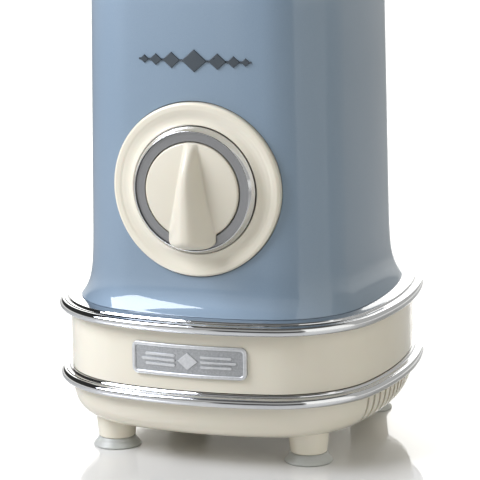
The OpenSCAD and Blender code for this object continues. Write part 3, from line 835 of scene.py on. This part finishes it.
def build_badge():
    z = (mm_box("badge_plate")[0].z + mm_box("badge_plate")[1].z) / 2
    width, height = 55.6, 15.2
    bow = BASE_BOW - SHELL_TUCK

    def wall(x):
        return BASE_HALF - SHELL_TUCK - bow + math.sqrt(bow * bow - x * x)

    def ring(inset, step):
        points = round_rect(width - 2 * inset, height - 2 * inset, max(3 - inset, 0.8))
        return [(p.x, -(wall(p.x) + step), z + p.y) for p in points]

    floor = BADGE_PROUD - 0.7
    steps = [(0, 0), (0, BADGE_PROUD - 0.55), (0.12, BADGE_PROUD - 0.2), (0.4, BADGE_PROUD),
             (1.25, BADGE_PROUD), (1.55, BADGE_PROUD - 0.12), (1.75, BADGE_PROUD - 0.4),
             (1.8, floor), (3, floor), (4.5, floor), (6, floor), (7.3, floor)]
    rings = [[(0, -wall(0), z)]] + [ring(*step) for step in steps]
    parts = [weave(rings + [[(0, -wall(0) - floor, z)]])]

    def sunk(x):
        return wall(x) + floor - 0.2

    def proud(x):
        return wall(x) + floor + 0.6

    parts.append(raised_plate(diamond(10, 8.4), z, sunk, proud, 0.45))
    for side in (-1, 1):
        for row in (-1, 0, 1):
            long = 17 if row == 0 else 15
            bar = [p + Vector((side * (14.5 if row == 0 else 13.5), row * 2.3))
                   for p in round_rect(long, 1.25, 0.6, 4, 4)]
            parts.append(raised_plate(bar, z, sunk, proud, 0.4))
    settle(make("badge_plate_smooth", joined(*parts)), "badge_plate", 50)


def build_emblem():
    low_corner, high_corner = mm_box("front_emblem")
    z = (low_corner.z + high_corner.z) / 2

    def sunk(x):
        return body_front(x, z) + 0.02

    def proud(x):
        return body_front(x, z) + 0.75

    parts = [raised_plate(round_rect(54, 0.9, 0.44, 4, 40), z, sunk,
                          lambda x: body_front(x, z) + 0.6, 0.3)]
    for place, size in ((0, 12), (11, 8.6), (18.6, 6.2), (24.2, 4.4)):
        for side in ((-1, 1) if place else (1,)):
            tile = [p + Vector((side * place, 0)) for p in diamond(size, 0.86 * size)]
            parts.append(raised_plate(tile, z, sunk, proud, 0.5))
    settle(make("front_emblem_smooth", joined(*parts)), "front_emblem", 35)


def box_part(low, high, edge=0.0):
    """A box between two corners, with its edges round Y taken off by edge."""
    rings = []
    for inset, y in ((edge, low[1]), (0, low[1] + edge), (0, high[1] - edge), (edge, high[1])):
        left, right = low[0] + inset, high[0] - inset
        bottom, top = low[2] + inset, high[2] - inset
        rings.append([(left, y, bottom), (right, y, bottom), (right, y, top), (left, y, top)])
    middle_x, middle_z = (low[0] + high[0]) / 2, (low[2] + high[2]) / 2
    return weave([[(middle_x, low[1], middle_z)]] + rings + [[(middle_x, high[1], middle_z)]])


def build_cord_gland():
    low, high = mm_box("cord_gland")
    z = low.z + GLAND_HALF

    def block(r, top, y0, y1, edge=0.0):
        return box_part((-r, y0, z - r), (r, y1, top), edge)

    obj = make("cord_gland_smooth", block(5.9, high.z, 70, 77))
    boss = turned(soften([(0, 79), (7, 79), (7, 80.6, 0.8), (6.2, high.y, 0.8), (0, high.y)],
                         closed=False), 72)
    bore = turned([(0, 60), (3.6, 60), (3.6, 90), (0, 90)], 48)
    carve(
        obj,
        make("inner_flange", block(7.5, high.z - 0.01, 71, 74.2, 0.4)),
        make("neck", block(5.88, high.z - 4.3, 70.5, 78)),
        make("outer_flange", block(GLAND_HALF, high.z - 4.29, 77.4, 79.6, 0.6)),
        make("boss", ([(x, up, out + z) for x, out, up in boss[0]], boss[1])),
        operation="UNION",
    )
    carve(obj, make("bore", ([(x, up, out + z) for x, out, up in bore[0]], bore[1])))
    settle(obj, "cord_gland")


# ---- dial ---------------------------------------------------------------------------


BEZEL_BACK = 59.7


def build_bezel():
    profile = [Vector((5.2, BEZEL_BACK)), Vector((BEZEL_R - 0.05, BEZEL_BACK))] + soften(
        [(BEZEL_R - 0.05, 60), (BEZEL_R - 0.05, 66.25, 1.3), (BEZEL_R - 3, 66.1, 1.0)],
        closed=False, steps=10,
    )[1:-1] + flow([
        (37.2, 66.0), (35.6, 65.45), (34, 64.85), (32.4, 64.6), (31, 64.85), (30.2, 65.1),
        (29.75, 64.9), (29.6, 64.3),
    ], 4) + [Vector((29.6, DIAL_SEAT - 0.1)), Vector((5.2, DIAL_SEAT - 0.1))]
    part = turned(profile, 180)
    verts = []
    for x, up, out in part[0]:
        reach = math.hypot(x, up)
        bend = x * x / (2 * BODY_BOW) * min(1.0, max(0.0, (reach - 30) / 6))
        verts.append((x, -(out - bend), up + DIAL_Z))
    settle(make("dial_bezel_smooth", (verts, part[1])), "dial_bezel", 50)


def build_trim_ring():
    profile = soften([
        (27.3, DIAL_SEAT), (29.3, DIAL_SEAT), (29.3, 65.7, 0.15), (27.7, 69.2, 0.2),
        (27.3, 69.3, 0.1),
    ])
    settle(make("dial_trim_ring_smooth", facing_front(turned(profile, 180))), "dial_trim_ring", 40)


def build_dial_face():
    profile = soften([
        (8.2, DIAL_SEAT), (27.2, DIAL_SEAT), (27.2, 68.2, 0.2), (KNOB_R + 0.5, 68.2, 0.25),
        (KNOB_R + 0.5, 65.2), (8.2, 65.2),
    ])
    settle(make("dial_face_smooth", facing_front(turned(profile, 180))), "dial_face")


# The knob: x to the right and y up from the dial's middle, fronts ahead of the motor axis
PLATE_EDGE = 68.9
PLATE_DOME = 1.7
PLATE_BACK = 65.6
CREST_HEIGHT = 11.0  # how far the grip's crest stands over the plate's edge
CREST_TOP = 20.6  # where the crest has faded at the top, and where it starts to round off below
GRIP_HALF = 7.1  # half the grip's width across the dial's middle
GRIP_SPREAD = 0.2  # how much that grows for each millimetre down
GRIP_ROUND_Y = -21.2  # where the grip's foot starts to round off
GRIP_END = -26.2
RIDGE_ROUND = 1.8
FILLET = 1.7


def grip_half(y):
    return GRIP_HALF - GRIP_SPREAD * y


def foot_half(y):
    """Half width of the grip's outline at a height on the dial, with its rounded foot."""
    over = max((GRIP_ROUND_Y - y) / (GRIP_ROUND_Y - GRIP_END), 0)
    return grip_half(y) * (1 - over ** 2.4) ** (1 / 2.4) if over < 1 else 0


def knob_height(x, y):
    """How far the knob's front stands ahead of the motor axis."""
    reach = math.hypot(x, y)
    plate = PLATE_EDGE + PLATE_DOME * max(1 - (reach / KNOB_R) ** 2, 0)
    fade = min(max((y + 2) / (CREST_TOP + 2), 0), 1.15)
    foot = min(max((-CREST_TOP - y) / (-CREST_TOP - GRIP_END), 0), 1)
    crest = CREST_HEIGHT * (1 - 0.78 * fade ** 2.7) * (0.86 * math.sqrt(1 - foot ** 2.2) + 0.14)
    width = max(grip_half(y), 1.0)
    across = (math.hypot(x, RIDGE_ROUND) - RIDGE_ROUND) / (
        math.hypot(width, RIDGE_ROUND) - RIDGE_ROUND
    )
    grip = PLATE_EDGE + 0.1 + crest * (1 - across ** 1.6)
    gap = max(FILLET - abs(plate - grip), 0) / FILLET
    return max(plate, grip) + gap * gap * FILLET / 4


def knob_reach(turn):
    """Distance from the axis to the knob's outline in one direction."""
    way = ray(turn)
    reach = KNOB_R
    if way.y < -0.5:
        while abs(way.x * reach) < foot_half(way.y * reach):
            reach += 0.02
    return reach


def build_knob():
    turns = range(-90, 270)
    reaches = [knob_reach(a) for a in turns]
    count = len(reaches)
    for _ in range(2):
        reaches = [(reaches[i - 1] + 2 * reaches[i] + reaches[(i + 1) % count]) / 4
                   for i in range(count)]
    edge = 0.9
    front = [(i / 44, 0) for i in range(1, 44)] + [(1, 15 * k) for k in range(7)]
    rings = [[(0, 0, knob_height(0, 0))]]
    for share, tilt in front:
        out = edge * math.sin(math.radians(tilt))
        drop = edge * (1 - math.cos(math.radians(tilt)))
        spots = [ray(a) * ((r - edge) * share + out) for a, r in zip(turns, reaches)]
        rings.append([(p.x, p.y, knob_height(p.x, p.y) - drop) for p in spots])
    rings.append(lift([ray(a) * r for a, r in zip(turns, reaches)], PLATE_EDGE - 0.2))
    for inset, z in ((0.02, PLATE_EDGE - 0.4), (0.02, PLATE_BACK + 0.3), (0.4, PLATE_BACK)):
        rings.append(lift([ray(a) * (KNOB_R - inset) for a in turns], z))
    rings.append([(0, 0, PLATE_BACK)])
    settle(make("speed_knob_smooth", facing_front(weave(rings))), "speed_knob", 60)


# ---- jar ----------------------------------------------------------------------------


def upright_block(x0, x1, half, *levels):
    """A block as rings of four corners, one (height, edge taken off) pair for each ring."""
    rings = []
    for z, edge in levels:
        low, side = x0 + edge, half - edge
        rings.append([(low, -side, z), (x1, -side, z), (x1, side, z), (low, side, z)])
    verts, faces = weave(rings)
    last = len(verts)
    return verts, faces + [[3, 2, 1, 0], [last - 4, last - 3, last - 2, last - 1]]


def at_key_places(part):
    return joined(*[moved(part, turn=a) for a in (45, 135, 225, 315)])


def build_jar_seat():
    profile = soften([
        (9, 224), (43.5, 224), (43.5, 235.2), (50, 235.2, 0.3), (50.8, 236.4, 0.7),
        (50.2, 238, 0.8), (41.2, 238, 0.6), (41, 226.5, 1.2), (9, 226.5),
    ])
    key = upright_block(39.4, 41.4, 2.0, (226.4, 0), (235.2, 0), (236, 0.5))
    obj = make("jar_seat_smooth", turned(profile, 180))
    carve(obj, make("keys", at_key_places(key)), operation="UNION")
    settle(obj, "jar_seat")


def build_collar():
    profile = soften([
        (33.5, 227, 0.4), (40.6, 227, 0.6), (40.6, 238.2), (50.5, 238.2, 0.8),
        (53.6, 239.8, 1.6), (54.3, 244, 4), (53.6, 252, 6), (52.2, 262, 3), (51, 264.4, 1.2),
        (47.6, 264.4, 0.3), (47.6, 246.2), (34.2, 246.2), (33.5, 242),
    ])
    obj = make("jar_collar_smooth", turned(profile, 180))
    slot = upright_block(38.8, 42.0, 2.6, (225, 0), (237, 0))
    carve(obj, make("key_slots", at_key_places(slot)))
    settle(obj, "jar_collar", 35)


def jar_ring(radius, z):
    """A ring of the glass, drawn out into the pouring lip near the rim."""
    ring = []
    for i in range(AROUND * 2):
        turn = 360 * i / (AROUND * 2)
        off = math.radians((turn - HANDLE_TURN) % 360 - 180)
        rise = min(max((z - (JAR_TOP_Z - 36)) / 36, 0), 1)
        reach = radius + 8.0 * rise ** 2.2 * math.exp(-(off / 0.17) ** 2)
        ring.append((*(reach * ray(turn)), z))
    return ring


def build_jar():
    outer = soften([
        (43.2, NECK_Z, 0.5), (47.2, NECK_Z, 0.8), (47.2, 264.8, 1.5), (51.6, 269.6, 5),
        (53, 277, 6), (60.6, JAR_TOP_Z - 30),
    ], closed=False, steps=6)
    outer += [Vector((60.6 + 1.4 * i / 8, JAR_TOP_Z - 30 + 18.0 * i / 8)) for i in range(1, 9)]
    outer += soften([
        (62.0, JAR_TOP_Z - 11.9), (62.8, JAR_TOP_Z - 6, 3), (JAR_R, JAR_TOP_Z - 2.6, 1.6),
        (JAR_R, JAR_TOP_Z, 1.5), (JAR_R - 3.8, JAR_TOP_Z, 1.5), (JAR_R - 4.6, JAR_TOP_Z - 3.5, 3),
        (JAR_R - 5.8, JAR_TOP_Z - 9, 3), (JAR_R - 5.9, JAR_TOP_Z - 11.9),
    ], closed=False, steps=6)
    outer += [Vector((JAR_R - 5.9 - 1.3 * i / 8, JAR_TOP_Z - 12 - 18.0 * i / 8))
              for i in range(1, 9)]
    outer += soften([
        (56.7, JAR_TOP_Z - 30.1), (49.2, 279, 6), (47.8, 273, 5), (44.4, 267, 3), (43.2, 262, 2),
        (43.2, NECK_Z),
    ], closed=False, steps=6)[1:-1]
    shell = make("jar_glass_smooth", weave([jar_ring(r, z) for r, z in outer], closed=True))
    path = soften([
        (58.0, 384), (84, 384, 20), (103.5, 370, 18), (103.5, 312, 18), (84, 298, 20), (55.2, 298),
    ], closed=False, steps=10)
    rings = []
    for i, point in enumerate(path):
        along = (path[min(i + 1, len(path) - 1)] - path[max(i - 1, 0)]).normalized()
        side = Vector((along.y, -along.x))
        section = []
        for k in range(28):
            spoke = ray(360 * k / 28)
            bulge = (abs(spoke.x) ** 3 + abs(spoke.y) ** 3) ** (-1 / 3)
            across = side * (5.2 * bulge * spoke.x)
            section.append((point.x + across.x, 7.0 * bulge * spoke.y, point.y + across.y))
        rings.append(section)
    ends = [[(path[0].x, 0, path[0].y)], [(path[-1].x, 0, path[-1].y)]]
    handle = moved(weave([ends[0]] + rings + [ends[1]]), turn=HANDLE_TURN)
    carve(shell, make("handle", handle), operation="UNION")
    settle(shell, "jar_glass", 45)


def build_lid():
    top = JAR_TOP_Z + 0.3
    profile = soften([
        (24.4, 398, 0.4), (27, 398, 0.4), (27, top + 0.4, 0.8), (52.6, top + 0.4, 0.8),
        (52.6, 388, 0.5), (55.2, 388, 0.5), (55.2, top, 0.5), (JAR_R + 1.4, top, 0.8),
        (JAR_R + 2, top + 1.6, 1.0), (JAR_R + 1.2, top + 3.8, 2.2), (59, top + 6.0, 8),
        (40, top + 9.0, 30), (29.5, top + 10.3, 3), (24.4, top + 10.4, 0.9),
    ])
    settle(make("jar_lid_smooth", turned(profile, 180)), "jar_lid")


def build_cap():
    top = JAR_TOP_Z + 10.9
    profile = soften([
        (0, top + 3.6), (21.9, top + 2.6, 0.8), (21.9, 394, 0.4), (23.9, 394, 0.6),
        (23.9, top, 0.4), (28.4, top, 0.4), (29, top + 1.3, 0.7), (28.2, top + 3.2, 1.6),
        (24, top + 5.3, 6), (0, top + 6.4),
    ], closed=False)
    settle(make("measuring_cap_smooth", turned(profile, 180)), "measuring_cap")


chrome_band("lower_chrome_band")
chrome_band("upper_chrome_band")
build_lower_housing()
build_mid_housing()
build_suction_feet()
build_upper_housing()
build_badge()
build_emblem()
build_cord_gland()
build_bezel()
build_trim_ring()
build_dial_face()
build_knob()
build_jar_seat()
build_collar()
build_jar()
build_lid()
build_cap()

# ---- studio -------------------------------------------------------------------------

ROOM_GLOW = 0.12
KEY_AIM_HEIGHT = 0.15
FLOOR_REACH = 14000

# Patches over the room: brightness, degrees round from the front (right is positive), degrees
# up, and the softness of the edge in degrees
STUDIO = (
    (0.95, (-200, 200), (-90, 6), 4),
    (0.50, (-30, 50), (18, 46), 6),
    (0.56, (50, 190), (10, 50), 6),
    (1.90, (196, 200), (10, 22), 22),
    (2.60, (-200, -153), (-90, 42), 10),
    (1.30, (46, 99), (-90, 50), 2),
    (0.03, (-8, 40), (-90, 14), 6),
    (0.04, (-138, -66), (11, 80), 8),
)


def build_floor():
    made = Finish("floor_white", Coat_Weight=1.0, Coat_Roughness=0.015, Coat_IOR=1.6)
    made.colour(made.blend(made.noise(3, 2), (0.75, 0.742, 0.715), (0.78, 0.773, 0.75)))
    made.rough(made.spread(made.noise(8, 3), 0.4, 0.5))
    made.bump(made.noise(400, 2), 0.00001, 0.1)
    corners = [(sx * FLOOR_REACH, sy * FLOOR_REACH, 0)
               for sx, sy in ((-1, -1), (1, -1), (1, 1), (-1, 1))]
    floor = make("floor", (corners, [[0, 1, 2, 3]]))
    floor.location.z = -0.00002
    floor.data.materials.append(made.material)


def build_key_lamp(size, glow, turn, rise, reach, colour):
    """A square lamp that looks at the object; turn is 0 in front and 90 on the right."""
    data = bpy.data.lights.new("key_box", "AREA")
    data.shape = "RECTANGLE"
    data.size, data.size_y = size, size
    data.energy = glow * math.pi * size * size
    data.color = colour
    lamp = bpy.data.objects.new("key_box", data)
    scene.collection.objects.link(lamp)
    a, e = math.radians(turn), math.radians(rise)
    away = Vector((math.sin(a) * math.cos(e), -math.cos(a) * math.cos(e), math.sin(e)))
    lamp.location = away * reach + Vector((0, 0, KEY_AIM_HEIGHT))
    lamp.rotation_euler = away.to_track_quat("Z", "Y").to_euler()
    lamp.visible_camera = False


def build_world():
    """A studio as seen from the object: white behind, a lit dome over a darker room in front."""
    world = bpy.data.worlds.new("studio")
    world.use_nodes = True
    nodes, links = world.node_tree.nodes, world.node_tree.links

    def math_node(operation, *values):
        made = nodes.new("ShaderNodeMath")
        made.operation = operation
        for socket, value in zip(made.inputs, values):
            if isinstance(value, bpy.types.NodeSocket):
                links.new(value, socket)
            else:
                socket.default_value = value
        return made.outputs[0]

    split = nodes.new("ShaderNodeSeparateXYZ")
    links.new(nodes.new("ShaderNodeTexCoord").outputs["Generated"], split.inputs[0])
    ahead = math_node("MULTIPLY", split.outputs["Y"], -1.0)
    turn = math_node("DEGREES", math_node("ARCTAN2", split.outputs["X"], ahead))
    rise = math_node("DEGREES", math_node("ARCSINE", split.outputs["Z"]))

    def step(value, start, end):
        """Goes smoothly from 0 at start to 1 at end."""
        made = nodes.new("ShaderNodeMapRange")
        made.interpolation_type = "SMOOTHSTEP"
        made.inputs["From Min"].default_value = start
        made.inputs["From Max"].default_value = end
        links.new(value, made.inputs["Value"])
        return made.outputs[0]

    def patch(below, level, turns, rises, soft):
        """Paints one level over the part of the studio between two turns and two rises."""
        mask = step(turn, turns[0] - soft, turns[0])
        for value, start, end in ((turn, turns[1] + soft, turns[1]),
                                  (rise, rises[0] - soft, rises[0]),
                                  (rise, rises[1] + soft, rises[1])):
            mask = math_node("MULTIPLY", mask, step(value, start, end))
        change = math_node("SUBTRACT", level, below)
        return math_node("MULTIPLY_ADD", change, mask, below)

    glow = math_node("ADD", ROOM_GLOW, 0.0)
    for level, turns, rises, soft in STUDIO:
        glow = patch(glow, level, turns, rises, soft)
    links.new(glow, nodes["Background"].inputs["Strength"])
    nodes["Background"].inputs["Color"].default_value = (1, 0.99, 0.96, 1)
    scene.world = world


build_floor()
build_world()
build_key_lamp(size=0.54, glow=12.4, turn=-52, rise=36, reach=0.95, colour=(0.96, 0.99, 1.08))
scene.view_settings.view_transform = "Standard"
